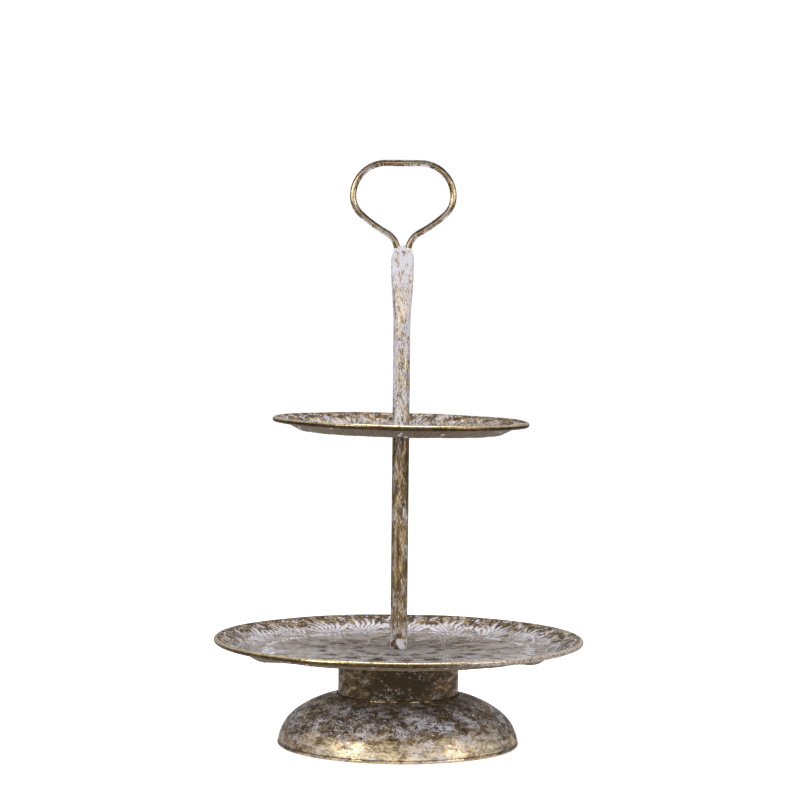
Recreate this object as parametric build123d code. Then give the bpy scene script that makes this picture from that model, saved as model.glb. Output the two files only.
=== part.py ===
from build123d import *
import os
from math import cos, radians, sin

# Two-tier cake stand of thin pressed sheet, in millimetres. +Z is up, the origin is the middle of
# the foot ring on the table, and the carrying loop lies in the XZ plane.

# ---- driving dimensions ----
SHEET = 0.8                 # thickness of plates, foot and neck
BEAD_R = 2.6                # outside radius of the wired rim of a plate

FOOT_RADIUS = 112.0         # middle of the rolled hem that the stand rests on
HEM_R = 2.0                 # outside radius of the hem
HEM_WORN = 0.15             # how much of the hem's underside is worn flat
SEAM_Z = 50.6               # where foot and neck meet
NECK_R = 57.0
CAP_Z = 88.6                # top of the neck, and underside of the lower plate
CAP_THICK = 1.2

LOWER_RIM_R = 175.0
UPPER_RIM_R = 121.3
LOWER_SLOPE = 19.6          # slope of the plate's wall, in degrees
UPPER_SLOPE = 26.7
RIM_RISE = 9.8              # middle of the bead over the middle of the floor's sheet
FLOOR_BEND_R = 6.0
UPPER_FLOOR_Z = 295.4       # underside of the upper plate, at its centre
UPPER_TILT = 0.85           # the upper plate hangs a little lower at +X

POST_R = 8.0
POST_WALL = 1.0
WASHER = 0.8                # thickness of the plain washer under each post
FIBRE = 1.2                 # thickness of the fibre washer under the upper plate, at its centre
FIBRE_TOP = 1.0             # and of the one on top of it

STUD_R = 3.0                # M6 threads are plain, at their outside radius
THREAD_PLAY = 0.05
HOLE_R = 3.3                # hole through plates and washers
PLUG_LENGTH = 20.0
ENGAGED = 14.2              # length of thread held in a post's plug
HEX_FLATS = 10.0
HEX_HEIGHT = 4.0

PINCH_FROM, PINCH_TO = 395.0, 452.0     # where the upper post turns from round to flat
POST_TOP = 468.8
PINCH_WIDE, PINCH_THICK = 21.6, 8.8
SHOULDER_WIDE, SHOULDER_DROP = 15.8, 8.6

ROD_R = 3.0
LEG_X = 5.0                 # half the spacing of the loop's two legs
LEG_FOOT_Z = 444.0
LEG_BEND_Z = 465.5

# ---- heights that follow from them ----
LOWER_TOP_Z = CAP_Z + SHEET
LOWER_POST_Z = LOWER_TOP_Z + WASHER
LOWER_POST_TOP = UPPER_FLOOR_Z - FIBRE
UPPER_TOP_Z = UPPER_FLOOR_Z + SHEET
UPPER_WASHER_Z = UPPER_TOP_Z + FIBRE_TOP
UPPER_POST_Z = UPPER_WASHER_Z + WASHER


# ---- paths of straight runs and tangent bends ----
def walk(start, heading, steps):
    """The points and headings at the ends of the steps. A step is ("run", length) or
    ("bend", radius, degrees), and a positive bend turns left."""
    point = Vector(*start)
    stations = [(point, heading)]
    for kind, size, *turn in steps:
        ahead = Vector(1, 0).rotate(Axis.Z, heading)
        if kind == "run":
            point += ahead * size
        else:
            side = 1 if turn[0] > 0 else -1
            centre = point + ahead.rotate(Axis.Z, 90) * size * side
            point = centre + (point - centre).rotate(Axis.Z, turn[0])
            heading += turn[0]
        stations.append((point, heading))
    return stations


def edges_beside(start, heading, steps, aside):
    """The path's edges, moved aside to its left."""
    edges = []
    stations = walk(start, heading, steps)
    for (kind, size, *turn), (point, heading), (far, _) in zip(steps, stations, stations[1:]):
        left = Vector(0, 1).rotate(Axis.Z, heading)
        if kind == "run":
            edges.append(Line(point + left * aside, far + left * aside))
            continue
        side = 1 if turn[0] > 0 else -1
        centre = point + left * size * side
        reach = -left * side * (size - side * aside)
        spots = [centre + reach.rotate(Axis.Z, turn[0] * part) for part in (0, 0.5, 1)]
        edges.append(ThreePointArc(*spots))
    return edges


def spun_sheet(start, heading, steps, thickness=SHEET):
    """A sheet of even thickness, spun about Z along a path given as (radius, height)."""
    upper = edges_beside(start, heading, steps, thickness / 2)
    lower = edges_beside(start, heading, steps, -thickness / 2)
    ends = [Line(upper[0] @ 0, lower[0] @ 0), Line(upper[-1] @ 1, lower[-1] @ 1)]
    return revolve(Plane.XZ * make_face(upper + lower + ends), Axis.Z)


def ring(outer, inner, low, high):
    """A plain ring or tube about Z."""
    section = Pos((inner + outer) / 2, (low + high) / 2) * Rectangle(outer - inner, high - low)
    return revolve(Plane.XZ * section, Axis.Z)


def rod(radius, low, high, chamfer_size=0.0):
    """A round bar about Z, with both ends chamfered."""
    bar = Pos(0, 0, (low + high) / 2) * Cylinder(radius, high - low)
    return chamfer(bar.edges().filter_by(GeomType.CIRCLE), chamfer_size) if chamfer_size else bar


# ---- foot ----
def foot_dome():
    """Spun dome: flange under the neck, gentle shoulder, round skirt and rolled hem."""
    flange_r, bend_r = 51.0, 8.0
    shoulder, shoulder_r, shoulder_turn = 15.0, 88.0, 22.0
    skirt_r, skirt_turn = 39.0, 45.0
    hem_mid = HEM_R - SHEET / 2

    def steps(shoulder_run, skirt_run):
        return [
            ("run", NECK_R - flange_r),
            ("bend", bend_r, -shoulder),
            ("run", shoulder_run),
            ("bend", shoulder_r, -shoulder_turn),
            ("bend", skirt_r, -skirt_turn),
            ("run", skirt_run),
            ("bend", 1.2, 30),
        ]

    # the two straight runs are as long as it takes to bring the hem to its place
    start = (flange_r, SEAM_Z - SHEET / 2)
    end, heading = walk(start, 0, steps(0, 0))[-1]
    centre = end + Vector(0, -1).rotate(Axis.Z, heading) * hem_mid
    gap = Vector(FOOT_RADIUS, HEM_R - HEM_WORN) - centre
    down = Vector(1, 0).rotate(Axis.Z, -shoulder)
    steep = Vector(1, 0).rotate(Axis.Z, -shoulder - shoulder_turn - skirt_turn)
    whole = down.cross(steep).Z
    runs = gap.cross(steep).Z / whole, down.cross(gap).Z / whole
    print("foot: straight shoulder and skirt", [round(run, 2) for run in runs])
    dome = spun_sheet(start, 0, [*steps(*runs), ("bend", hem_mid, -290)])
    worn_away = Pos(0, 0, -5) * Cylinder(FOOT_RADIUS + 10, 10)
    return dome - worn_away


def neck_cap():
    """Lid of the neck: it lies on the collar, and its skirt reaches down inside."""
    collar_inner = NECK_R - SHEET
    lid = ring(NECK_R, HOLE_R, CAP_Z - CAP_THICK, CAP_Z)
    skirt = ring(collar_inner - 0.1, collar_inner - 1.2, CAP_Z - 9, CAP_Z - CAP_THICK)
    return lid + skirt


def neck_weld(dome, collar):
    """Brazed bead round the seam between foot and neck."""
    bead = Pos(0, 0, SEAM_Z + 0.4) * Torus(NECK_R + 0.5, 1.1)
    return bead - dome - collar - ring(NECK_R - 0.1, NECK_R - 5, SEAM_Z - 5, SEAM_Z + 5)


# ---- bolt from inside the foot, up into the lower post ----
def base_bolt(head_top):
    """M6 hexagon bolt."""
    head = extrude(RegularPolygon(HEX_FLATS / 2, 6, major_radius=False), HEX_HEIGHT)
    head = Pos(0, 0, head_top - HEX_HEIGHT) * head
    head = chamfer(head.edges().group_by(Axis.Z)[0], 0.5)
    shank = rod(STUD_R, head_top - 0.5, LOWER_POST_Z + ENGAGED)
    return head + chamfer(shank.edges().group_by(Axis.Z)[-1], 0.6)


def spring_washer(low, high):
    """Split ring, with its cut at a slant."""
    cut = Rot(0, 0, 90) * Pos(4.5, 0, (low + high) / 2) * Rot(20, 0, 0) * Box(5, 0.6, 6)
    return ring(5.6, STUD_R + 0.1, low, high) - cut


# ---- plates ----
def plate(rim_r, slope, floor_z):
    """Dish with a flat floor, a bend, a straight wall, and a rim rolled outward over a wire."""
    bead_mid = BEAD_R - SHEET / 2
    out, up = cos(radians(90 + slope)), sin(radians(90 + slope))
    wall_end_r = rim_r - BEAD_R + bead_mid * out
    wall_rise = RIM_RISE + bead_mid * up
    wall = (wall_rise - FLOOR_BEND_R * (1 - cos(radians(slope)))) / sin(radians(slope))
    floor_r = wall_end_r - wall * cos(radians(slope)) - FLOOR_BEND_R * sin(radians(slope))
    steps = [
        ("run", floor_r - HOLE_R),
        ("bend", FLOOR_BEND_R, slope),
        ("run", wall),
        ("bend", bead_mid, -290),
    ]
    print("plate of radius", rim_r, "has a floor of radius", round(floor_r, 2))
    return spun_sheet((HOLE_R, floor_z + SHEET / 2), 0, steps)


def rim_wire(rim_r, floor_z):
    """Iron wire inside the rolled rim."""
    wire_r = BEAD_R - SHEET - 0.03
    return Pos(0, 0, floor_z + SHEET / 2 + RIM_RISE) * Torus(rim_r - BEAD_R, wire_r)


def tilted(shape):
    """Leans the upper plate about its centre."""
    return Pos(0, 0, UPPER_FLOOR_Z) * Rot(0, UPPER_TILT, 0) * Pos(0, 0, -UPPER_FLOOR_Z) * shape


def fibre_washers():
    """The two soft washers, squeezed to a slight wedge by the leaning plate."""
    under = ring(POST_R, HOLE_R, LOWER_POST_TOP, UPPER_FLOOR_Z + 1)
    over = ring(POST_R, HOLE_R, UPPER_TOP_Z - 0.6, UPPER_WASHER_Z)
    above_floor = tilted(Pos(0, 0, UPPER_FLOOR_Z + 25) * Box(50, 50, 50))
    below_top = tilted(Pos(0, 0, UPPER_TOP_Z - 25) * Box(50, 50, 50))
    return under - above_floor, over - below_top


# ---- posts ----
def plug(low, high, bore_r, bore_low, bore_high):
    """Turned slug, brazed into a post's end, with a threaded bore."""
    return rod(POST_R - POST_WALL, low, high) - rod(bore_r, bore_low, bore_high)


def pinched_bar(low, shrink, top_wide):
    """Round bar whose upper end is pressed flat in stages, made smaller all round by shrink."""
    stages = 5
    slices = []
    for n in range(stages):
        part = n / (stages - 1)
        ease = part * part * (3 - 2 * part)
        wide = POST_R + (PINCH_WIDE / 2 - POST_R) * ease - shrink
        thick = POST_R + (PINCH_THICK / 2 - POST_R) * ease - shrink
        slices.append(Pos(0, 0, PINCH_FROM + (PINCH_TO - PINCH_FROM) * part) * Ellipse(wide, thick))
    end = [slices[-1], Pos(0, 0, POST_TOP) * Ellipse(top_wide, PINCH_THICK / 2 - shrink)]
    return rod(POST_R - shrink, low, PINCH_FROM) + loft(slices) + loft(end)


def upper_post(loop):
    """Tube pressed flat round the two legs of the loop, with its corners cut off."""
    hollow = pinched_bar(UPPER_POST_Z, POST_WALL, SHOULDER_WIDE / 2 - 2)
    post = pinched_bar(UPPER_POST_Z, 0, PINCH_WIDE / 2) - hollow
    half, full, low = SHOULDER_WIDE / 2, PINCH_WIDE / 2 + 0.2, POST_TOP - SHOULDER_DROP
    corner = Plane.XZ * make_face(
        Polyline((half, POST_TOP + 1), (half, POST_TOP), (full, low), (full + 5, low),
                 (full + 5, POST_TOP + 1), close=True)
    )
    cutter = extrude(corner, 20, both=True)
    return post - cutter - mirror(cutter, Plane.YZ) - loop


# ---- carrying loop ----
def handle_loop():
    """Bent rod: legs in the post, a flare outward, then round shoulders and a flat top."""
    half = [
        ("run", LEG_BEND_Z - LEG_FOOT_Z),
        ("bend", 20.5, 61),
        ("bend", 130.0, -13),
        ("bend", 23.3, -48),
        ("bend", 31.0, -90),
    ]
    foot = (-LEG_X, LEG_FOOT_Z)
    top_bar = -2 * walk(foot, 90, half)[-1][0].X
    path = Wire(edges_beside(foot, 90, [*half, ("run", top_bar), *half[::-1]], 0))
    path = Plane.XZ * path
    print("loop:", path.bounding_box())
    return sweep(Plane(path @ 0, z_dir=path % 0) * Circle(ROD_R), path=path)


def handle_weld(loop, post):
    """Lump of weld between the legs, at the mouth of the post."""
    lump = Pos(0, 0, POST_TOP) * Rot(90, 0, 0) * Cylinder(3.6, 5.4)
    lump = fillet(lump.edges().filter_by(GeomType.CIRCLE), 1.6)
    return lump - loop - post


def main():
    os.makedirs("parts", exist_ok=True)
    dome = foot_dome()
    collar = ring(NECK_R, NECK_R - SHEET, SEAM_Z, CAP_Z - CAP_THICK)
    penny_low = CAP_Z - CAP_THICK - 1.2
    spring_low = penny_low - 1.4
    under_washer, top_washer = fibre_washers()
    bore = STUD_R + THREAD_PLAY
    stud_top = UPPER_POST_Z + 15
    loop = handle_loop()
    post = upper_post(loop)
    parts = {
        "base_dome": dome,
        "neck_collar": collar,
        "neck_weld": neck_weld(dome, collar),
        "neck_cap": neck_cap(),
        "base_bolt": base_bolt(spring_low),
        "bolt_spring_washer": spring_washer(spring_low, penny_low),
        "bolt_penny_washer": ring(9, HOLE_R, penny_low, CAP_Z - CAP_THICK),
        "lower_plate": plate(LOWER_RIM_R, LOWER_SLOPE, CAP_Z),
        "lower_rim_wire": rim_wire(LOWER_RIM_R, CAP_Z),
        "lower_post_washer": ring(POST_R, HOLE_R, LOWER_TOP_Z, LOWER_POST_Z),
        "lower_post": ring(POST_R, POST_R - POST_WALL, LOWER_POST_Z, LOWER_POST_TOP),
        "lower_post_bottom_plug": plug(
            LOWER_POST_Z, LOWER_POST_Z + PLUG_LENGTH, bore, LOWER_POST_Z, LOWER_POST_Z + PLUG_LENGTH
        ),
        "lower_post_top_plug": plug(
            LOWER_POST_TOP - PLUG_LENGTH, LOWER_POST_TOP, bore, LOWER_POST_TOP - PLUG_LENGTH, LOWER_POST_TOP
        ),
        "upper_plate": tilted(plate(UPPER_RIM_R, UPPER_SLOPE, UPPER_FLOOR_Z)),
        "upper_rim_wire": tilted(rim_wire(UPPER_RIM_R, UPPER_FLOOR_Z)),
        "upper_plate_under_washer": under_washer,
        "upper_plate_top_washer": top_washer,
        "upper_post_washer": ring(POST_R, HOLE_R, UPPER_WASHER_Z, UPPER_POST_Z),
        "upper_post": post,
        "upper_post_plug": plug(UPPER_POST_Z, UPPER_POST_Z + PLUG_LENGTH, STUD_R, UPPER_POST_Z, stud_top),
        "joining_stud": rod(STUD_R, LOWER_POST_TOP - ENGAGED, stud_top, 0.5),
        "handle_loop": loop,
        "handle_weld": handle_weld(loop, post),
    }
    for name, shape in parts.items():
        export_step(shape, f"parts/{name}.step")


main()
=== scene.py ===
from math import cos, pi, radians, sin, tan

import bpy
import numpy as np
from bpy.props import FloatProperty, FloatVectorProperty, IntProperty, PointerProperty
from mathutils import Matrix, Vector


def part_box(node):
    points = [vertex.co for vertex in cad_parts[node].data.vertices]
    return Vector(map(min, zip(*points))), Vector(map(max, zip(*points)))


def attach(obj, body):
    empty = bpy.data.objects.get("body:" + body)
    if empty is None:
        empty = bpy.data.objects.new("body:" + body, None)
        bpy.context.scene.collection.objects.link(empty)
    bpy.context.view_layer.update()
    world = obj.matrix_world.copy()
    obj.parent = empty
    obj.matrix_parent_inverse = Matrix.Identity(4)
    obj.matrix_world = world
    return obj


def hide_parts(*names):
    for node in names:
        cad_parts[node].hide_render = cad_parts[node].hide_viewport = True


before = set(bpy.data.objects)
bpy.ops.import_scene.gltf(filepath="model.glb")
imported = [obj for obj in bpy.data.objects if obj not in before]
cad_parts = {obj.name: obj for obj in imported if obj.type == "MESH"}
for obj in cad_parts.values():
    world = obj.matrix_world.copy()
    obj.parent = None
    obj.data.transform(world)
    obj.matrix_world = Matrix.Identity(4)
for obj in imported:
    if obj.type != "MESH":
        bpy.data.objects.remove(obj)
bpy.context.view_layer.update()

bl_info = {
    "name": "Tiered cake stand",
    "version": (1, 0, 0),
    "blender": (4, 5, 0),
    "location": "3D View > Sidebar > Cake Stand",
    "description": "Pressed plates, worn gold and pale wash for a two-tier cake stand, with its studio",
    "category": "Object",
}

MM = 0.001
ROLL = radians(290)  # how far a rim is rolled round its wire
BEAD_CUTS, HEM_CUTS = 14, 16


# ---- settings ----
def length(name, description, default):
    """A size in metres, stated in millimetres."""
    return FloatProperty(name=name, description=description, default=default * MM,
                         unit="LENGTH", precision=5)


def angle(name, description, degrees):
    return FloatProperty(name=name, description=description, default=radians(degrees), unit="ROTATION")


def colour(name, description, default):
    return FloatVectorProperty(name=name, description=description, default=default, size=3,
                               min=0.0, max=1.0, subtype="COLOR")


class SheetSizes(bpy.types.PropertyGroup):
    """Sizes that the spun and pressed sheet parts share."""

    sheet: length("Sheet", "Thickness of plates, foot and neck", 0.8)
    bead: length("Bead", "Outside radius of a plate's wired rim", 2.6)
    rim_rise: length("Rim rise", "Middle of the bead over the middle of the floor's sheet", 9.8)
    floor_bend: length("Floor bend", "Radius between a plate's floor and wall", 6.0)
    hole: length("Hole", "Radius of the hole through a plate", 3.3)
    hem: length("Hem", "Outside radius of the foot's rolled hem", 2.0)
    hem_worn: length("Worn hem", "How much of the hem's underside is worn flat", 0.15)
    flange: length("Flange", "Inner radius of the foot's flange", 51.0)
    braze: length("Braze", "Radius of the brazed bead round the neck", 0.9)
    sunk: length("Sunk", "How far the spun foot's top has sunk under the neck", 3.2)


class PlateSizes(bpy.types.PropertyGroup):
    """Pressed pattern of the plates."""

    lower_slope: angle("Lower slope", "Slope of the lower plate's wall", 19.6)
    upper_slope: angle("Upper slope", "Slope of the upper plate's wall", 26.7)
    upper_tilt: angle("Upper tilt", "How far the upper plate leans to one side", 0.85)
    fibre: length("Fibre washer", "Thickness of the washer under the upper plate", 1.2)
    relief: length("Relief", "Depth of the pressed petals", 0.62)
    lower_fans: IntProperty(name="Lower fans", description="Petal fans round the lower plate", default=21)
    upper_fans: IntProperty(name="Upper fans", description="Petal fans round the upper plate", default=18)
    pearl: length("Pearl", "Radius of the raised pearls along the border", 0.80)
    bulge: length("Bulge", "Depth of the knocks in the lower plate's corner", 4.8)


class PostSizes(bpy.types.PropertyGroup):
    """Tubes, carrying loop and threads."""

    wall: length("Wall", "Wall of the tubes", 1.0)
    pinch_from: length("Pinch start", "Height at which the upper tube begins to flatten", 395.0)
    pinch_to: length("Pinch end", "Height at which the upper tube is flat", 452.0)
    pinch_wide: length("Pinch width", "Width of the flattened end", 21.6)
    pinch_thick: length("Pinch thickness", "Thickness of the flattened end", 8.8)
    shoulder_wide: length("Shoulder width", "Width left at the top between the cut corners", 15.8)
    shoulder_drop: length("Shoulder drop", "Height of the cut corners", 8.6)
    rod: length("Rod", "Radius of the carrying loop's rod", 3.0)
    leg: length("Leg", "Half the spacing of the loop's legs", 5.0)
    leg_foot: length("Leg foot", "Height of the lower ends of the legs", 444.0)
    leg_bend: length("Leg bend", "Height at which the legs begin to flare", 465.5)
    pitch: length("Pitch", "Rise of the screw threads in one turn", 1.0)
    thread: length("Thread depth", "Depth of the screw threads", 0.6)
    stud: length("Stud", "Outside radius of the threads", 3.0)
    hex_flats: length("Hexagon", "Width of the bolt's head across its flats", 10.0)


class FinishColours(bpy.types.PropertyGroup):
    """Colours of leaf, patina and wash."""

    # This darkest brown is also the colour of painted shade: the plates' crescents, the neck's dark middle,
    # the rod's upper side and the foot's sides.
    patina: colour("Patina", "Darkest brown in the hollows of the metal", (0.042, 0.027, 0.012))
    brown: colour("Brown", "Brown of the tarnished leaf", (0.150, 0.096, 0.046))
    gold: colour("Gold", "Worn gold leaf", (0.42, 0.295, 0.145))
    # Bright gold also makes the painted glints: low on the foot's skirt, the neck's flanks, the front of the
    # braze and along the top of the plates' beads.
    bright: colour("Bright gold", "Rubbed edges of the leaf", (0.86, 0.71, 0.46))
    wash: colour("Wash", "Pale lavender-grey wash", (0.48, 0.425, 0.39))
    pale: colour("Pale wash", "Thickest part of the wash", (0.79, 0.775, 0.85))
    taupe: colour("Taupe", "Thin wash over brown metal", (0.23, 0.19, 0.155))
    zinc: colour("Zinc", "Plated washers and screws", (0.62, 0.61, 0.58))
    brass: colour("Brass", "Turned slugs inside the tubes", (0.62, 0.44, 0.18))
    fibre: colour("Fibre", "Red-brown fibre washers", (0.20, 0.06, 0.03))


class StudioSizes(bpy.types.PropertyGroup):
    """Camera, floor and lights."""

    distance: FloatProperty(name="Distance", description="Camera to the stand's axis", default=2.48,
                            unit="LENGTH")
    height: FloatProperty(name="Height", description="Camera over the table", default=0.431, unit="LENGTH")
    pitch: angle("Pitch", "How far the camera looks down", 2.428)
    roll: angle("Roll", "Lean of the camera", -0.6)
    lens: FloatProperty(name="Lens", description="Focal length", default=118.35, unit="CAMERA")
    aside: length("Aside", "Camera to one side of the stand's axis", -2.2)
    floor: FloatProperty(name="Floor", description="Radius of the pale floor", default=6.0, unit="LENGTH")


SETTINGS = {
    "stand_sheet": SheetSizes,
    "stand_plate": PlateSizes,
    "stand_post": PostSizes,
    "stand_colours": FinishColours,
    "stand_studio": StudioSizes,
}


def settings(name):
    return getattr(bpy.context.scene, "stand_" + name)


PIECES = []


def operator(label):
    """Turns a function into the add-on's operator of the same name."""
    def made(build):
        def execute(self, context):
            build()
            return {"FINISHED"}

        name = build.__name__
        PIECES.append(type("CAKESTAND_OT_" + name, (bpy.types.Operator,), {
            "__doc__": build.__doc__, "bl_idname": "cakestand." + name, "bl_label": label,
            "execute": execute}))
        return build

    return made


# ---- closed meshes from rows of points ----
def link(name, mesh):
    """A new object for the mesh."""
    piece = bpy.data.objects.new(name, mesh)
    bpy.context.scene.collection.objects.link(piece)
    return piece


def volume(points, quads):
    """Signed volume inside a closed mesh of quads."""
    a, b, c, d = (points[quads[:, n]] for n in range(4))
    first = np.einsum("ij,ij->i", a, np.cross(b, c))
    second = np.einsum("ij,ij->i", a, np.cross(c, d))
    return float((first + second).sum() / 6)


def from_rows(name, rows, along=None, values=None, ends=False):
    """A closed mesh from an array [row, place round the row, xyz]. The last row joins the first,
    or both ends are capped. along gives each row its V, and values holds one number per point."""
    count, around = rows.shape[:2]
    points = rows.reshape(-1, 3)
    row_pairs = count - 1 if ends else count
    i, j = np.meshgrid(np.arange(row_pairs), np.arange(around), indexing="ij")
    up, turn = (i + 1) % count, (j + 1) % around
    quads = np.stack([i * around + j, i * around + turn, up * around + turn, up * around + j], -1)
    quads = quads.reshape(-1, 4)
    flip = volume(points, quads) < 0
    faces = (quads[:, ::-1] if flip else quads).tolist()
    if ends:
        bottom, top = list(range(around)), list(range((count - 1) * around, count * around))
        faces += [bottom, top[::-1]] if flip else [bottom[::-1], top]
    mesh = bpy.data.meshes.new(name)
    mesh.from_pydata(points.tolist(), [], faces)
    if along is None:
        along = np.arange(count) / count
    v = np.asarray(along, float)
    corner_u = np.stack([j, j + 1, j + 1, j], -1).reshape(-1, 4) / around
    corner_v = np.stack([v[i], v[i], v[up], v[up]], -1).reshape(-1, 4)
    uv = np.stack([corner_u, corner_v], -1)
    if flip:
        uv = uv[:, ::-1]
    flat = np.zeros((len(mesh.loops), 2))
    flat[: uv.shape[0] * 4] = uv.reshape(-1, 2)
    mesh.uv_layers.new(name="UVMap").data.foreach_set("uv", flat.astype(np.float32).ravel())
    for label, numbers in (values or {}).items():
        layer = mesh.attributes.new(label, "FLOAT", "POINT")
        layer.data.foreach_set("value", np.asarray(numbers, np.float32).ravel())
    mesh.polygons.foreach_set("use_smooth", np.ones(len(mesh.polygons), bool))
    mesh.update()
    return mesh


def trace(start, heading, steps):
    """Points and left-hand normals along runs and bends. A step is (length, 0, cuts) for a run,
    or (radius, turn, cuts) for a bend, where a positive turn bends left."""
    point = np.array(start, float)
    points, lefts = [point], [np.array([-sin(heading), cos(heading)])]
    for size, turn, cuts in steps:
        left = np.array([-sin(heading), cos(heading)])
        ahead = np.array([cos(heading), sin(heading)])
        side = 1 if turn > 0 else -1
        centre = point + left * size * side
        for n in range(1, cuts + 1):
            now = heading + turn * n / cuts
            left_now = np.array([-sin(now), cos(now)])
            spot = centre - left_now * size * side if turn else point + ahead * size * n / cuts
            points.append(spot)
            lefts.append(left_now)
        point, heading = points[-1], heading + turn
    return np.array(points), np.array(lefts)


def smooth(value, low, high):
    part = np.clip((value - low) / (high - low), 0, 1)
    return part * part * (3 - 2 * part)


def waves(turn, seed, count=6, lowest=1):
    """A gentle closed wobble round the axis, between about -1 and 1."""
    draw = np.random.default_rng(seed)
    total = np.zeros_like(turn)
    for n in range(lowest, lowest + count):
        total = total + draw.normal() * np.cos(n * turn + draw.uniform(0, 2 * pi)) / (n - lowest + 1)
    return total / 2


def spin(points, turn, aside=0.0):
    """Rows of xyz from (radius, height) rows, one number aside per place."""
    radius, height = points[:, 0][:, None] + aside, points[:, 1][:, None] + 0 * turn
    return np.stack([radius * np.cos(turn), radius * np.sin(turn), height], -1)


def sheet_outline(points, lefts, thickness, thin=None):
    """Both sides of a sheet as one closed outline: the right-hand side first, then back along the
    left-hand one. thin picks the rows that the right-hand side keeps."""
    keep = np.arange(len(points)) if thin is None else thin
    order = np.concatenate([keep, np.arange(len(points))[::-1]])
    side = np.concatenate([-np.ones(len(keep)), np.ones(len(points))])
    outline = points[order] + lefts[order] * (side * thickness / 2)[:, None]
    return outline, order, side


# ---- node helpers ----
def feed(socket, value):
    """Links another node's output to a socket, or sets the socket's own value."""
    if isinstance(value, bpy.types.NodeSocket):
        socket.id_data.links.new(value, socket)
    else:
        socket.default_value = value


def put(tree, kind, inputs=None, **details):
    """Adds a node. inputs maps a socket's name or number to a value or to another node's output."""
    node = tree.nodes.new(kind)
    for key, value in details.items():
        setattr(node, key, value)
    for key, value in (inputs or {}).items():
        feed(node.inputs[key], value)
    return node


def calc(operation, *values, clamp=False):
    """A Math node's output, in the tree that the values come from."""
    tree = next(value.id_data for value in values if isinstance(value, bpy.types.NodeSocket))
    node = put(tree, "ShaderNodeMath", dict(enumerate(values)), operation=operation, use_clamp=clamp)
    return node.outputs[0]


def plus(first, *others):
    for other in others:
        first = calc("ADD", first, other)
    return first


def minus(first, second, clamp=False):
    return calc("SUBTRACT", first, second, clamp=clamp)


def times(first, *others, clamp=False):
    for other in others:
        first = calc("MULTIPLY", first, other, clamp=clamp)
    return first


def step(value, low, high, to_low=0.0, to_high=1.0):
    """Smooth step of a value between two limits."""
    inputs = {"Value": value, "From Min": low, "From Max": high, "To Min": to_low, "To Max": to_high}
    return put(value.id_data, "ShaderNodeMapRange", inputs, interpolation_type="SMOOTHSTEP").outputs[0]


def blend(factor, first, second):
    """A mix of two colours."""
    node = put(factor.id_data, "ShaderNodeMix", {0: factor}, data_type="RGBA")
    for socket, value in ((node.inputs[6], first), (node.inputs[7], second)):
        feed(socket, value if isinstance(value, bpy.types.NodeSocket) else (*value, 1.0))
    return node.outputs[2]


def parts(vector):
    """A vector's three numbers."""
    return put(vector.id_data, "ShaderNodeSeparateXYZ", {0: vector}).outputs


def noise(vector, scale, detail=4.0, rough=0.55, distort=0.0):
    inputs = {"Vector": vector, "Scale": scale, "Detail": detail, "Roughness": rough, "Distortion": distort}
    return put(vector.id_data, "ShaderNodeTexNoise", inputs).outputs[0]


def start_group(name, inputs, outputs, kind="ShaderNodeTree"):
    """A new node group with these named sockets. inputs holds (name, type, default)."""
    tree = bpy.data.node_groups.new(name, kind)
    for label, socket, default in inputs:
        made = tree.interface.new_socket(label, in_out="INPUT", socket_type="NodeSocket" + socket)
        if default is not None:
            made.default_value = default
    for label, socket in outputs:
        tree.interface.new_socket(label, in_out="OUTPUT", socket_type="NodeSocket" + socket)
    return tree, tree.nodes.new("NodeGroupInput").outputs, tree.nodes.new("NodeGroupOutput")


def use(tree, group, inputs):
    """Places a node group in a tree and gives its outputs."""
    kind = tree.bl_idname.replace("Tree", "Group")
    return put(tree, kind, inputs, node_tree=bpy.data.node_groups[group]).outputs


# ---- effects that several finishes share ----
def build_wash_group():
    """Patches of wash with broken edges."""
    _, given, result = start_group(
        "Worn wash",
        [("Vector", "Vector", None), ("Size", "Float", 0.02), ("Coverage", "Float", 0.5),
         ("Edge", "Float", 0.035), ("Speckle", "Float", 0.35)],
        [("Mask", "Float")])
    scale = calc("DIVIDE", 1.0, given["Size"])
    broad = noise(given["Vector"], scale, 5.0, 0.6, 0.4)
    drift = noise(given["Vector"], times(scale, 0.3), 2.0, 0.5)
    grain = noise(given["Vector"], times(scale, 5.0), 3.0, 0.6, 0.2)
    swing = times(minus(grain, 0.5), given["Speckle"])
    patches = plus(times(broad, 0.55), times(drift, 0.45))
    level = plus(patches, swing)
    cut = step(given["Coverage"], 0.0, 1.0, 0.78, 0.22)
    low, high = minus(cut, given["Edge"]), plus(cut, given["Edge"])
    feed(result.inputs["Mask"], step(level, low, high))


def build_leaf_group():
    """Tarnished gold leaf, from brown through gold to rubbed bright flecks."""
    _, given, result = start_group(
        "Tarnished leaf",
        [("Vector", "Vector", None), ("Size", "Float", 0.012), ("Wear", "Float", 0.5),
         ("Spread", "Float", 1.0),
         *[(tint, "Color", None) for tint in ("Patina", "Brown", "Gold", "Bright")]],
        [("Color", "Color"), ("Roughness", "Float"), ("Leaf", "Float")])
    scale = calc("DIVIDE", 1.0, given["Size"])
    cloud = noise(given["Vector"], scale, 6.0, 0.62, 0.7)
    flecks = noise(given["Vector"], times(scale, 5.0), 4.0, 0.62, 0.3)
    lift = plus(times(minus(given["Wear"], 0.5), 0.34), 0.5)
    mottle = plus(times(cloud, 0.65), times(flecks, 0.35))
    mottle = times(minus(mottle, 0.5), given["Spread"])
    level = plus(mottle, lift)
    dark = blend(step(level, 0.36, 0.50), given["Patina"], given["Brown"])
    warm = blend(step(level, 0.46, 0.58), dark, given["Gold"])
    hot = step(plus(level, times(flecks, 0.25)), 0.66, 0.80)
    feed(result.inputs["Color"], blend(hot, warm, given["Bright"]))
    leaf = step(level, 0.42, 0.58)
    feed(result.inputs["Roughness"], step(leaf, 0.0, 1.0, 0.52, 0.30))
    feed(result.inputs["Leaf"], leaf)


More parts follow.
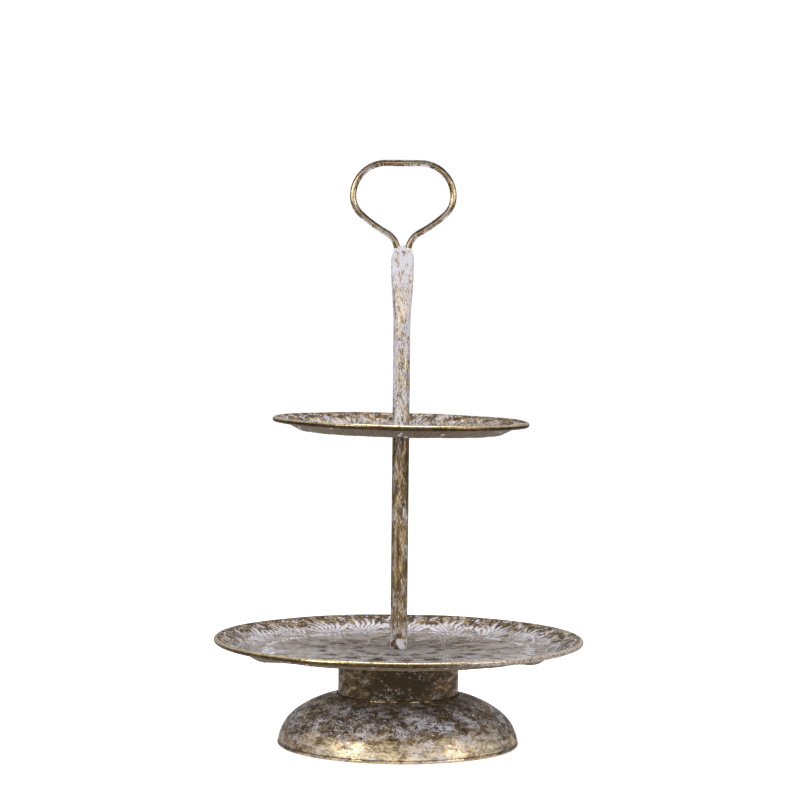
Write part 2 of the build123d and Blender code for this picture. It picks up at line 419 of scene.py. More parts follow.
def build_pitting_group():
    """Shallow beaten facets with small pits between them."""
    tree, given, result = start_group(
        "Pitting",
        [("Vector", "Vector", None), ("Size", "Float", 0.01), ("Pits", "Float", 0.5)],
        [("Height", "Float"), ("Mask", "Float")])
    scale = calc("DIVIDE", 1.0, given["Size"])
    facets = put(tree, "ShaderNodeTexVoronoi", {"Vector": given["Vector"], "Scale": scale},
                 feature="SMOOTH_F1").outputs["Distance"]
    pits = noise(given["Vector"], times(scale, 6.0), 3.0, 0.7)
    hollow = step(pits, 0.32, 0.46)
    sunk = times(minus(hollow, 1.0), given["Pits"])
    feed(result.inputs["Height"], plus(times(facets, 0.6), sunk))
    feed(result.inputs["Mask"], hollow)


def build_feather_group():
    """Rosette of feather leaves in growing rings, from a turn (0 to 1) and a radius."""
    _, given, result = start_group(
        "Feather rosette",
        [("Turn", "Float", 0.0), ("Radius", "Float", 0.1), ("Leaves", "Float", 24.0),
         ("First", "Float", 0.012), ("Growth", "Float", 1.34), ("Sway", "Float", 0.0)],
        [("Leaf", "Float"), ("Strokes", "Float"), ("Rib", "Float")])
    rings = calc("LOGARITHM", calc("DIVIDE", given["Radius"], given["First"]), given["Growth"])
    rings = plus(rings, given["Sway"])
    ring, along = calc("FLOOR", rings), calc("FRACT", rings)
    offset = times(calc("FLOORED_MODULO", ring, 2.0), 0.5)
    spot = calc("FRACT", plus(times(given["Turn"], given["Leaves"]), offset))
    aside = calc("ABSOLUTE", minus(spot, 0.5))
    width = times(calc("POWER", calc("SINE", times(along, pi)), 0.65), 0.46)
    gap = minus(width, aside)
    barbs = minus(times(along, 4.5), times(aside, 7.0))
    barb = calc("SINE", times(barbs, 2 * pi))
    feed(result.inputs["Leaf"], step(gap, 0.0, 0.06))
    feed(result.inputs["Strokes"], step(barb, -0.5, 0.7))
    feed(result.inputs["Rib"], step(aside, 0.05, 0.012))


EFFECTS = (build_wash_group, build_leaf_group, build_pitting_group, build_feather_group)


# ---- finishes ----
def start_material(name):
    material = bpy.data.materials.new(name)
    material.use_nodes = True
    tree = material.node_tree
    tree.nodes.clear()
    shader = tree.nodes.new("ShaderNodeBsdfPrincipled")
    end = tree.nodes.new("ShaderNodeOutputMaterial")
    feed(end.inputs["Surface"], shader.outputs[0])
    place = put(tree, "ShaderNodeTexCoord").outputs["Object"]
    return material, place, shader


def stretched(place, scale):
    """Coordinates, stretched."""
    return put(place.id_data, "ShaderNodeMapping", {"Vector": place, "Scale": scale}).outputs[0]


def colours():
    """The leaf group's four colours."""
    c = settings("colours")
    return {"Patina": (*c.patina, 1), "Brown": (*c.brown, 1), "Gold": (*c.gold, 1),
            "Bright": (*c.bright, 1)}


def wash_colour(vector, thickness):
    """Thin wash lets the metal's brown through; thick wash is nearly white."""
    c = settings("colours")
    cloud = noise(vector, 160.0, 3.0, 0.6)
    level = plus(thickness, times(minus(cloud, 0.5), 0.9))
    return blend(step(level, 0.15, 0.85), c.wash, c.pale)


def finish_surface(shader, colour_out, metal, rough, height, depth, strength=0.6):
    for name, value in (("Base Color", colour_out), ("Metallic", metal), ("Roughness", rough)):
        feed(shader.inputs[name], value)
    shader.inputs["Specular IOR Level"].default_value = 0.3
    bump = put(shader.id_data, "ShaderNodeBump", {"Height": height, "Distance": depth, "Strength": strength})
    feed(shader.inputs["Normal"], bump.outputs[0])


def aged_metal(name, stretch, size, coverage, wear_and_sheen, leaf_size=0.012, speckle=0.5, pale=0.5, spread=1.0,
               adjust=None, depth=0.0006, shine=1.0, metal=0.92):
    """Worn leaf under patches of wash. adjust(mask, wear, place) may change where both lie."""
    material, place, shader = start_material(name)
    tree = place.id_data
    long = stretched(place, stretch)
    mask = use(tree, "Worn wash", {"Vector": long, "Size": size, "Coverage": coverage,
                                   "Speckle": speckle})["Mask"]
    if adjust:
        # adjust may raise or lower the leaf's level to paint glints and shade
        mask, wear_and_sheen = adjust(mask, wear_and_sheen, place)
    leaf = use(tree, "Tarnished leaf", {"Vector": long, "Size": leaf_size, "Wear": wear_and_sheen,
                                         "Spread": spread, **colours()})
    pits = use(tree, "Pitting", {"Vector": place, "Size": 0.006, "Pits": 0.5})
    mask = times(mask, step(pits["Mask"], 0.0, 1.0, 0.55, 1.0))
    paint = wash_colour(place, pale)
    colour_out = blend(mask, leaf["Color"], paint)
    bare = minus(1.0, mask, clamp=True)
    metallic = times(bare, metal, step(leaf["Leaf"], 0.0, 1.0, 0.55, 1.0))
    rough = plus(times(leaf["Roughness"], times(bare, shine)), times(mask, 0.58))
    height = plus(times(pits["Height"], 0.5), times(mask, 0.3))
    finish_surface(shader, colour_out, metallic, rough, height, depth)
    return material


def along_z(place, low, high, to_low, to_high):
    """A value that follows height, between two heights in metres."""
    z = parts(place)[2]
    return step(z, low, high, to_low, to_high)


def across(place, near, far, to_near, to_far):
    """A value that follows the distance to the left or right of the middle, in metres."""
    x = parts(place)[0]
    return step(calc("ABSOLUTE", x), near, far, to_near, to_far)


def foot_finish():
    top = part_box("base_dome")[1].z

    def rubbed_skirt(mask, wear_and_sheen, place):
        """Low on the skirt the wash is thinner and the leaf is rubbed bright; the crease is dark."""
        crease_shade = minus(1.0, attribute(place, "crease_shade"), clamp=True)
        # painted glint low on the skirt and across the middle, painted shade at the sides and in the fold
        # above the hem
        wear_and_sheen = along_z(place, 0.18 * top, 0.55 * top, wear_and_sheen + 0.26, wear_and_sheen - 0.03)
        wear_and_sheen = minus(wear_and_sheen, minus(1.0, crease_shade))
        wear_and_sheen = plus(wear_and_sheen, across(place, 0.080, 0.106, 0.06, -0.26))
        mask = times(mask, along_z(place, 0.15 * top, 0.55 * top, 0.60, 1.0))
        mask = times(mask, along_z(place, 0.80 * top, 0.98 * top, 1.0, 0.40))
        return times(mask, crease_shade), wear_and_sheen

    return aged_metal("foot leaf and wash", (1, 1, 2.4), 0.0060, 0.43, 0.50, 0.016, 0.9, 0.75, 1.0,
                      adjust=rubbed_skirt)


def neck_finish():
    def smoked(mask, wear_and_sheen, place):
        """The middle of the neck is almost black, and its flanks are rubbed."""
        return mask, across(place, 0.010, 0.044, wear_and_sheen - 0.16, wear_and_sheen + 0.20)

    return aged_metal("neck patina", (1, 1, 1.6), 0.006, 0.35, 0.16, 0.010, 0.7, 0.1, 0.9, adjust=smoked)


def braze_finish():
    def rubbed_front(mask, wear_and_sheen, place):
        """Only the front of the bead is rubbed bright, in dashes."""
        y = parts(place)[1]
        # painted highlight on the front of the bead
        front = step(y, -0.046, -0.054, wear_and_sheen, wear_and_sheen + 0.75)
        dashes = step(noise(place, 160.0, 2.0), 0.44, 0.52, -0.6, 0.0)
        return times(mask, 0.5), plus(front, dashes)

    return aged_metal("braze", (1, 1, 1), 0.006, 0.35, 0.16, 0.006, 0.5, 0.1, 0.9, adjust=rubbed_front)


def upper_post_finish():
    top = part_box("upper_post")[1].z

    def white_end(mask, wear_and_sheen, place):
        """The flattened end is almost white."""
        patches = step(noise(place, 150.0, 4.0, 0.6), 0.44, 0.48)
        end = along_z(place, top - 0.05, top - 0.02, 0.0, 1.0)
        return calc("MAXIMUM", mask, times(patches, end)), wear_and_sheen

    return aged_metal("upper post wash", (1.3, 1.3, 0.40), 0.0055, 0.52, 0.66, 0.009, 1.1, 0.95, 1.0,
                      adjust=white_end)


def lower_post_finish():
    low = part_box("lower_post")[0].z

    def white_foot(mask, wear_and_sheen, place):
        """Thick blobs of wash lie round the tube's foot."""
        blobs = step(noise(place, 130.0, 2.0), 0.44, 0.52)
        near = along_z(place, low + 0.006, low + 0.030, 1.0, 0.0)
        return calc("MAXIMUM", mask, times(near, blobs)), wear_and_sheen

    return aged_metal("lower post leaf", (1.4, 1.4, 0.32), 0.0060, 0.37, 0.52, 0.012, 0.8, 0.6, 0.9,
                      adjust=white_foot)


def rod_finish():
    def shaded(mask, wear_and_sheen, place):
        """Wash hangs on the rod's lower side, and its upper side is tarnished."""
        up = attribute(place, "up")
        mask = times(mask, step(up, -0.8, -0.1, 1.6, 0.15), clamp=True)
        # painted shade on the upper and lower sides, painted highlight along the middle
        worn = step(up, 0.05, 0.6, wear_and_sheen, wear_and_sheen - 0.70)
        return mask, plus(worn, step(up, -0.6, -0.2, -0.30, 0.0))

    return aged_metal("rod leaf", (1, 1, 1), 0.008, 0.47, 0.66, 0.014, 0.5, 0.9, 0.35, adjust=shaded,
                      depth=0.00012, shine=0.62)


def attribute(place, name):
    return put(place.id_data, "ShaderNodeAttribute", attribute_name=name).outputs["Fac"]


def plate_finish():
    """Pressed sheet: wash in the hollows, brown-gold ridges, bright bead, taupe underside."""
    c = settings("colours")
    material, place, shader = start_material("plate leaf and wash")
    tree = place.id_data
    uv = put(tree, "ShaderNodeSeparateXYZ", {0: put(tree, "ShaderNodeUVMap", uv_map="UVMap").outputs[0]})
    hollow, floor = attribute(place, "wash"), attribute(place, "floor")
    rim, under, worn = attribute(place, "rim"), attribute(place, "under"), attribute(place, "worn")
    # painted shade in the crescent hollows beside the raised eyes
    crescent = attribute(place, "dark")

    leaf = use(tree, "Tarnished leaf", {"Vector": place, "Size": 0.009, "Wear": 0.40, **colours()})
    # painted highlight: the bead is gold on its upward-facing side and brown below
    bead_wear_and_sheen = step(attribute(place, "bead_top_sheen"), 0.0, 1.0, 0.22, 0.92)
    rim_leaf = use(tree, "Tarnished leaf", {"Vector": place, "Size": 0.010, "Wear": bead_wear_and_sheen, "Spread": 0.45,
                                            **colours()})
    patch = use(tree, "Worn wash", {"Vector": place, "Size": 0.008, "Coverage": 0.62, "Edge": 0.12,
                                    "Speckle": 0.6})["Mask"]
    sway = times(minus(noise(place, 30.0, 2.0), 0.5), 0.25)
    feather = use(tree, "Feather rosette", {"Turn": uv.outputs[0], "Radius": uv.outputs[1],
                                           "Leaves": 17.0, "Growth": 1.5, "Sway": sway})
    fine = noise(place, 420.0, 3.0, 0.65, 0.3)

    stroke = times(feather["Leaf"], feather["Strokes"])
    stroke = calc("MAXIMUM", stroke, times(feather["Rib"], feather["Leaf"]))
    cloud = step(noise(place, 26.0, 4.0, 0.6, 0.5), 0.40, 0.60, 0.0, 0.50)
    floor_wash = times(plus(times(stroke, 0.60), cloud), floor)
    floor_wash = plus(floor_wash, times(floor, 0.12))
    worn_level = plus(times(patch, 0.4), fine)
    floor_wash = times(floor_wash, step(worn_level, 0.48, 0.84, 0.12, 1.5))
    petal_wash = times(hollow, step(worn_level, 0.54, 0.68, 0.10, 1.0))
    wall = minus(1.0, floor, clamp=True)
    flecks = step(noise(place, 120.0, 4.0, 0.6), 0.53, 0.57)
    wall_wash = times(patch, wall, times(flecks, 0.50))
    petal_wash = calc("MAXIMUM", petal_wash, wall_wash)
    y = parts(place)[1]
    front = times(step(y, 0.018, -0.024), floor)
    front = times(front, step(noise(place, 75.0, 4.0, 0.65), 0.42, 0.54, 0.20, 1.0))
    floor_wash = plus(floor_wash, times(front, 0.65))
    streaks = noise(place, 240.0, 4.0, 0.7, 0.4)
    floor_wash = times(floor_wash, step(streaks, 0.40, 0.60, 0.45, 1.35))
    mask = calc("MAXIMUM", petal_wash, floor_wash, clamp=True)
    # no wash in the painted shade of the crescents
    mask = times(mask, minus(1.0, crescent, clamp=True))

    thick = plus(times(hollow, 0.80), times(stroke, 0.40))
    thick = plus(thick, plus(times(wall_wash, 0.7), times(front, 0.3)))
    paint = wash_colour(place, thick)
    # painted shade: the crescent hollows darken towards the darkest brown
    ground = blend(times(crescent, 0.8), leaf["Color"], c.patina)
    top_colour = blend(mask, ground, paint)

    dots = put(tree, "ShaderNodeTexVoronoi", {"Vector": place, "Scale": 120.0}).outputs["Distance"]
    spots = times(step(dots, 0.27, 0.18), step(noise(place, 45.0, 2.0), 0.47, 0.54))
    film = blend(step(fine, 0.3, 0.7), c.brown, c.taupe)
    under_colour = blend(spots, film, c.pale)
    with_under = blend(under, top_colour, under_colour)

    specks = step(noise(place, 300.0, 3.0, 0.7), 0.36, 0.41)
    rim_colour = blend(specks, c.brown, rim_leaf["Color"])
    rim_paint = times(worn, step(fine, 0.42, 0.56, 0.25, 0.9))
    rim_colour = blend(rim_paint, rim_colour, c.wash)
    colour_out = blend(rim, with_under, rim_colour)

    bare = minus(1.0, mask, clamp=True)
    face_metal = times(bare, 0.75, minus(1.0, times(under, 0.75)))
    rim_metal = times(rim, minus(1.0, rim_paint))
    keep = minus(1.0, rim)
    metallic = plus(times(face_metal, keep), times(rim_metal, 0.95))
    face_rough = plus(times(leaf["Roughness"], bare), times(mask, 0.56))
    rough = plus(times(face_rough, keep), times(rim, 0.8, rim_leaf["Roughness"]))
    lift = times(stroke, floor, 0.8)
    grain = times(fine, minus(0.5, times(rim, 0.42)))
    height = plus(lift, grain)
    finish_surface(shader, colour_out, metallic, rough, height, 0.0012, 1.0)
    return material


def pearl_finish():
    c = settings("colours")
    material, place, shader = start_material("pearl wash")
    mask = step(noise(place, 120.0, 3.0, 0.6), 0.36, 0.48)
    colour_out = blend(mask, c.gold, c.pale)
    metallic = times(minus(1.0, mask), 0.9)
    rough = step(mask, 0.0, 1.0, 0.32, 0.5)
    finish_surface(shader, colour_out, metallic, rough, noise(place, 900.0), 0.0001)
    return material


def plain_metal(name, tint, rough, lines=(1, 1, 1)):
    """Turned, plated or moulded small parts, with fine marks along one direction."""
    material, place, shader = start_material(name)
    marks = noise(stretched(place, lines), 500.0, 4.0, 0.6)
    dull = noise(stretched(place, (1, 1, 1)), 90.0, 3.0, 0.6)
    shade = tuple(part * 0.55 for part in tint)
    colour_out = blend(step(dull, 0.35, 0.6), shade, tint)
    roughness = step(marks, 0.3, 0.7, rough * 0.8, rough * 1.25)
    metallic = step(dull, 0.2, 0.5, 0.8, 1.0)
    finish_surface(shader, colour_out, metallic, roughness, marks, 0.00008)
    return material


def fibre_finish():
    c = settings("colours")
    material, place, shader = start_material("red fibre")
    strands = noise(stretched(place, (1, 1, 8)), 700.0, 4.0, 0.7)
    dark = tuple(part * 0.5 for part in c.fibre)
    colour_out = blend(step(strands, 0.35, 0.65), dark, c.fibre)
    finish_surface(shader, colour_out, 0.0, step(strands, 0, 1, 0.6, 0.85), strands, 0.0001)
    return material


FINISHES = {
    "foot": foot_finish,
    "neck": neck_finish,
    "braze": braze_finish,
    "upper post": upper_post_finish,
    "lower post": lower_post_finish,
    "rod": rod_finish,
    "plate": plate_finish,
    "pearl": pearl_finish,
    "zinc": lambda: plain_metal("zinc plate", settings("colours").zinc, 0.38),
    "brass": lambda: plain_metal("turned brass", settings("colours").brass, 0.34, (1, 1, 12)),
    "fibre": fibre_finish,
}
made_finishes = {}


def finish(name):
    """The finish of that name, made when it is first needed."""
    if name not in made_finishes:
        made_finishes[name] = FINISHES[name]()
    return made_finishes[name]


def settle(piece, body, slot, *nodes, material=None):
    """Gives a finished piece its body, slot, finish and the nodes that it stands for."""
    if material:
        piece.data.materials.clear()
        piece.data.materials.append(material)
    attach(piece, body)
    if nodes:
        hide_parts(*nodes)
    return piece


def grow(name, group, inputs):
    """Runs a geometry node group on its own and bakes it to a plain mesh."""
    holder = link(name + "_rule", bpy.data.meshes.new(name + "_rule"))
    modifier = holder.modifiers.new("rule", "NODES")
    modifier.node_group = bpy.data.node_groups[group]
    for item in modifier.node_group.interface.items_tree:
        if item.item_type == "SOCKET" and item.in_out == "INPUT" and item.name in inputs:
            modifier[item.identifier] = inputs[item.name]
    depsgraph = bpy.context.evaluated_depsgraph_get()
    mesh = bpy.data.meshes.new_from_object(holder.evaluated_get(depsgraph), depsgraph=depsgraph)
    bpy.data.objects.remove(holder)
    mesh.name = name
    mesh.polygons.foreach_set("use_smooth", np.ones(len(mesh.polygons), bool))
    return link(name, mesh)


# ---- foot and neck ----
def dome_path():
    """The foot's path from flange to rolled hem, in millimetres, with the flange's thickness."""
    s = settings("sheet")
    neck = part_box("neck_collar")[1].x / MM
    seam = (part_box("neck_collar")[0].z - s.sunk) / MM
    sheet, hem, flange = s.sheet / MM, s.hem / MM, s.flange / MM
    mid = hem - sheet / 2
    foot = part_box("base_dome")[1].x / MM - hem

    def steps(shoulder_run, skirt_run):
        return [(neck - flange, 0, 3), (8.0, -radians(15), 5), (shoulder_run, 0, 4),
                (88.0, -radians(22), 14), (39.0, -radians(45), 16), (skirt_run, 0, 4),
                (1.2, radians(30), 4)]

    start = (flange, seam - sheet / 2)
    points, lefts = trace(start, 0, steps(1e-9, 1e-9))
    gap = np.array([foot, hem - s.hem_worn / MM]) - (points[-1] - lefts[-1] * mid)
    down = np.array([cos(radians(-15)), sin(radians(-15))])
    steep = np.array([cos(radians(-82)), sin(radians(-82))])
    runs = np.linalg.solve(np.stack([down, steep], -1), gap)
    return trace(start, 0, [*steps(*runs), (mid, -ROLL, HEM_CUTS)])


@operator("Foot")
def foot():
    """Spun foot with its rolled hem, a little out of true"""
    s = settings("sheet")
    points, lefts = dome_path()
    outline, order, _ = sheet_outline(points, lefts, s.sheet / MM)
    turn = np.linspace(0, 2 * pi, 420, endpoint=False)
    place = np.arange(len(points)) / len(points)
    swell = np.sin(np.clip(place[order] * 1.25, 0, 1) * pi)[:, None]
    aside = swell * (0.30 * waves(turn, 3, 5, 2) + 0.10 * waves(turn, 4, 14, 9))
    rows = spin(outline, turn, aside)
    rows[..., 2] = np.maximum(rows[..., 2], 0.0)
    hem_from = len(points) - HEM_CUTS
    # painted shade in the fold where the skirt turns into the hem
    crease_shade = np.exp(-((order - hem_from + 3) / 2.2) ** 2)[:, None] + 0 * turn
    mesh = from_rows("foot", rows * MM, outline[:, 0] * MM, {"crease_shade": crease_shade})
    settle(link("foot", mesh), "base", "foot_metal", "base_dome", material=finish("foot"))


@operator("Neck")
def neck():
    """Rolled neck between the foot and the lower plate"""
    low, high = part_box("neck_collar")
    s = settings("sheet")
    outer, wall, foot = high.x, s.sheet, low.z - s.sunk
    heights = np.linspace(foot, high.z, 26)
    tube = [(outer - wall, foot), *[(outer, z) for z in heights], (outer - wall, high.z)]
    outline = np.array(tube)
    turn = np.linspace(0, 2 * pi, 300, endpoint=False)
    belly = np.sin(np.linspace(0, pi, len(heights)))
    swell = np.concatenate([[0], belly, [0]])[:, None]
    dents = -np.abs(0.22 * waves(turn, 11, 7, 2)) * MM
    rows = spin(outline, turn, swell * dents)
    mesh = from_rows("neck", rows, outline[:, 1])
    settle(link("neck", mesh), "base", "foot_metal", "neck_collar", material=finish("neck"))


def build_braze_group():
    """A lumpy bead of braze that follows a circle."""
    tree, given, result = start_group(
        "Braze bead",
        [("Ring Radius", "Float", 0.0575), ("Bead Radius", "Float", 0.0011), ("Ripples", "Int", 190),
         ("Lumps", "Float", 0.5), ("Seed", "Float", 4.0), ("Height", "Float", 0.05),
         ("Material", "Material", None)],
        [("Geometry", "Geometry")], "GeometryNodeTree")
    circle = put(tree, "GeometryNodeCurvePrimitiveCircle",
                 {"Resolution": 760, "Radius": given["Ring Radius"]})
    place = put(tree, "GeometryNodeInputPosition").outputs[0]
    field = put(tree, "ShaderNodeTexNoise", {"Vector": place, "W": given["Seed"], "Scale": 90.0},
                noise_dimensions="4D").outputs[0]
    along = put(tree, "GeometryNodeSplineParameter").outputs["Factor"]
    turns = times(along, given["Ripples"], 2 * pi)
    ripple = times(calc("SINE", turns), 0.10)
    lump = times(minus(field, 0.5), given["Lumps"])
    size = plus(plus(1.0, ripple), lump)
    sized = put(tree, "GeometryNodeSetCurveRadius", {"Curve": circle.outputs[0], "Radius": size})
    section = put(tree, "GeometryNodeCurvePrimitiveCircle",
                  {"Resolution": 10, "Radius": given["Bead Radius"]})
    swept = put(tree, "GeometryNodeCurveToMesh",
                {"Curve": sized.outputs[0], "Profile Curve": section.outputs[0], "Scale": size})
    raised = put(tree, "GeometryNodeTransform", {"Geometry": swept.outputs[0],
                 "Translation": put(tree, "ShaderNodeCombineXYZ", {2: given["Height"]}).outputs[0]})
    whole = put(tree, "GeometryNodeRealizeInstances", {0: raised.outputs[0]})
    done = put(tree, "GeometryNodeSetMaterial", {0: whole.outputs[0], "Material": given["Material"]})
    feed(result.inputs[0], done.outputs[0])


@operator("Braze")
def braze():
    """Brazed bead round the seam of foot and neck"""
    build_braze_group()
    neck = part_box("neck_collar")
    s = settings("sheet")
    bead = grow("neck_braze", "Braze bead", {
        "Ring Radius": neck[1].x + 0.3 * s.braze, "Bead Radius": s.braze,
        "Height": neck[0].z - s.sunk + 0.3 * s.braze, "Material": finish("braze")})
    settle(bead, "base", "foot_metal", "neck_weld")


# ---- plates ----
def scatter(index, seed):
    """A steady number from 0 to 1 for each whole number."""
    return (np.sin(index * 12.9898 + seed * 78.233) * 43758.5453) % 1.0


def fan(turn, radius, count, base, reach, petals, spread, shift=0.0, inward=False):
    """Height and wash of a ring of palmettes: hollow lance-shaped petals, with ground between."""
    s = settings("plate")
    sector = 2 * pi / count
    which = np.floor(turn / sector + shift + 0.5) % count
    near = ((turn / sector + shift + 0.5) % 1.0 - 0.5) * sector
    x = radius * np.sin(near)
    y = (base - radius * np.cos(near)) if inward else (radius * np.cos(near) - base)
    rho, theta = np.hypot(x, y), np.arctan2(x, y) + 0.36 * (scatter(which, 9) - 0.5)
    place = (theta / spread + 1) / 2 * petals
    petal = np.floor(place)
    aside = np.abs(place - petal - 0.5) * 2
    own = scatter(which * 31 + petal, 1)
    inside = smooth(spread - np.abs(theta), 0, 0.05)
    tip = reach * (0.86 + 0.14 * np.cos(theta * 1.6)) * (0.84 + 0.24 * own)
    tip = tip * (0.90 + 0.14 * scatter(which, 7))
    along = np.clip(rho / tip, 0, 1)
    half = rho * spread / petals
    lance = np.minimum(half * 0.92, 2.5 * petal_width(along))
    body = inside * smooth(lance - aside * half, 0, 0.75) * smooth(rho, 2.0, 4.0)
    whole = inside * smooth(tip + 1 - rho, 0, 1.5) * smooth(rho, 1.5, 4)
    height = (0.40 * whole - body * (1.2 - 0.5 * aside ** 2)) * s.relief / MM
    return height, body * (0.75 + 0.25 * scatter(which * 17 + petal, 2))


def petal_width(along):
    """Share of a petal's full width along its length: slender at the root, pointed at the tip."""
    return np.clip(np.sin(pi * np.clip(along, 0, 1) ** 1.3), 0, 1) ** 0.6


def bud(turn, radius, count, middle, long, wide, shift):
    """Height and wash of a ring of leaf-shaped buds."""
    sector = 2 * pi / count
    near = ((turn / sector + shift + 0.5) % 1.0 - 0.5) * sector
    across, along = radius * np.sin(near), radius * np.cos(near) - middle
    taper = np.clip(1 - (along / long) ** 2, 0, 1) ** 0.8
    body = smooth(wide * taper - np.abs(across), 0, 1.0)
    rib = smooth(0.7 - np.abs(across), 0, 0.5) * body
    return (0.7 * body - 0.5 * rib) * settings("plate").relief / MM, body * (1 - 0.8 * rib)


def boss(turn, radius, count, middle, size, shift=0.0):
    """Raised eyes, each with a crescent hollow on its outer side."""
    sector = 2 * pi / count
    near = ((turn / sector + shift + 0.5) % 1.0 - 0.5) * sector
    x, y = radius * np.sin(near), radius * np.cos(near) - middle
    dome = smooth(size - np.hypot(x, y), 0, size)
    hollow = smooth(size - np.hypot(x, y - size * 0.8), 0, size * 0.5) * (1 - smooth(dome, 0.0, 0.4))
    return 1.1 * dome - 0.7 * hollow, 1 - hollow


def stems(turn, radius, count, inner, outer, sway):
    """Thin raised stems that sweep outward over a plate's floor."""
    sector = 2 * pi / count
    bend = sway * np.sin((radius - inner) / (outer - inner) * pi)
    across = np.abs(((turn + bend) / sector % 1.0 - 0.5) * sector * radius)
    return smooth(1.2 - across, 0, 0.9) * smooth(radius - inner, 0, 8) * smooth(outer - radius, 0, 8)


class Plate:
    """One plate's outline and pattern, in millimetres."""

    def __init__(self, node, slope, base_z, fans, tilt=0.0, knocks=()):
        s = settings("sheet")
        self.rim_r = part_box(node)[1].y / MM
        self.slope, self.tilt, self.base_z, self.fans = slope, tilt, base_z / MM, fans
        self.sheet, self.bead, self.knocks = s.sheet / MM, s.bead / MM, knocks
        self.hole, self.bend = s.hole / MM, s.floor_bend / MM
        mid = self.bead - self.sheet / 2
        wall_rise = s.rim_rise / MM + mid * cos(slope)
        self.wall = (wall_rise - self.bend * (1 - cos(slope))) / sin(slope)
        wall_end = self.rim_r - self.bead - mid * sin(slope)
        self.floor_r = wall_end - self.wall * cos(slope) - self.bend * sin(slope)
        self.knee = self.floor_r + self.bend * tan(slope / 2)
        self.scale = self.floor_r / 137.3
        self.outer = self.rim_r - 2 * self.bead
        self.fan_base, self.reach = self.knee - 7.0, self.outer - self.knee + 2.5

    def pattern(self, turn, radius):
        """Height of the relief and share of wash at each place."""
        outer = self.outer
        turn = turn + 0.016 * np.sin(turn * 5 + radius * 0.11) + 0.009 * np.sin(turn * 17 - radius * 0.31)
        height, wash = fan(turn, radius, self.fans, self.fan_base, self.reach, 8, radians(58))
        inner = fan(turn, radius, self.fans, self.knee - 1.0, 21.0 * self.scale ** 0.5, 6,
                    radians(56), 0.5, True)
        leaves = fan(turn, radius, self.fans, self.knee + 2.0, 15.0 * self.scale, 4, radians(50), 0.5)
        sprays = fan(turn, radius, self.fans * 2, self.knee - 22.0 * self.scale, 19.0 * self.scale, 5,
                     radians(60), 0.25)
        buds = bud(turn, radius, self.fans, outer - 6.0, 5.5, 2.6, 0.5)
        for more_height, more_wash in (inner, leaves, sprays, buds):
            free = 1 - np.clip(wash * 2, 0, 1)
            height, wash = height + more_height * free, np.maximum(wash, more_wash)
        band = smooth(radius, self.knee - 12, self.knee - 5) * smooth(self.knee + 7 - radius, 0, 6)
        wash = np.maximum(wash, 0.5 * band)
        stem = stems(turn, radius, 9, 0.26 * self.floor_r, 0.88 * self.floor_r, 0.5)
        height, wash = height + 0.45 * stem, np.maximum(wash, 0.9 * stem)
        # painted shade: dark marks the crescent hollows beside the eyes
        dark = np.zeros_like(wash)
        for middle, count, size in ((30.0, 11, 9.0), (63.0, 17, 10.0)):
            more_height, keep = boss(turn, radius, count, middle * self.scale, size)
            height, dark = height + more_height, np.maximum(dark, 1 - keep)
        edge_fade = smooth(outer + 1.5 - radius, 0, 1.5) * smooth(radius, 11, 14)
        return height * edge_fade, wash * edge_fade, dark * edge_fade

    def mesh(self, name, around, floor_cuts):
        """The whole sheet with its relief, rolled over at the rim."""
        mid = self.bead - self.sheet / 2
        stops = [self.hole, *[stop * self.floor_r for stop, _ in floor_cuts]]
        runs = [(far - near, 0, cuts) for near, far, (_, cuts) in zip(stops, stops[1:], floor_cuts)]
        steps = [*runs, (self.bend, self.slope, 3), (self.wall, 0, 30), (mid, -ROLL, BEAD_CUTS)]
        points, lefts = trace((self.hole, self.base_z + self.sheet / 2), 0, steps)
        bead_from = len(points) - BEAD_CUTS
        thin = [n for n in range(len(points)) if n >= bead_from or n % 3 == 0 or n < 4]
        outline, order, side = sheet_outline(points, lefts, self.sheet, np.array(thin))
        turn = np.linspace(0, 2 * pi, around, endpoint=False)[None, :]
        radius = points[order, 0][:, None]
        height, wash, dark = self.pattern(turn, radius)
        on_bead = (order >= bead_from).astype(float)[:, None]
        is_under = (side < 0).astype(float)[:, None] * (1 - on_bead)
        height = height * (1 - on_bead) * np.where(side < 0, 0.6, 1.0)[:, None]
        left = lefts[order]
        rows = np.empty((len(order), around, 3))
        r = outline[:, 0][:, None] + left[:, 0][:, None] * height
        z = outline[:, 1][:, None] + left[:, 1][:, None] * height
        rim_part = smooth(radius, 0.4 * self.rim_r, self.rim_r)
        z = z + rim_part * (0.35 * waves(turn, int(self.rim_r), 4, 2) + 0.12 * waves(turn, 8, 9, 8))
        for where, distance, across, along, depth in self.knocks:
            gap_r = (radius - distance) / along
            gap_t = ((turn - where + pi) % (2 * pi) - pi) * distance / across
            z = z - depth * np.exp(-(gap_r ** 2 + gap_t ** 2))
        rows[..., 0], rows[..., 1], rows[..., 2] = r * np.cos(turn), r * np.sin(turn), z
        floor = smooth(self.knee - 4 - radius, 0, 10) + 0 * turn
        worn = smooth(np.cos(turn + radians(25)), 0.55, 0.85) * (self.tilt == 0) + 0 * radius
        # painted highlight: the bead's upward-facing side is marked for gold, its lower side for brown
        bead_top_sheen = smooth(left[:, 1] * side, 0.0, 0.55)[:, None] + 0 * turn
        if self.tilt:
            wash = wash * (0.92 - 0.42 * smooth(np.cos(turn - radians(60)), 0.1, 0.8))
        # dark carries the painted shade of the eyes' crescents
        values = {"wash": wash * (1 - on_bead), "floor": floor, "rim": on_bead + 0 * turn, "bead_top_sheen": bead_top_sheen,
                  "under": is_under + 0 * turn, "worn": worn, "dark": dark}
        mesh = from_rows(name, self.lean(rows) * MM, radius[:, 0] * MM, values)
        return mesh

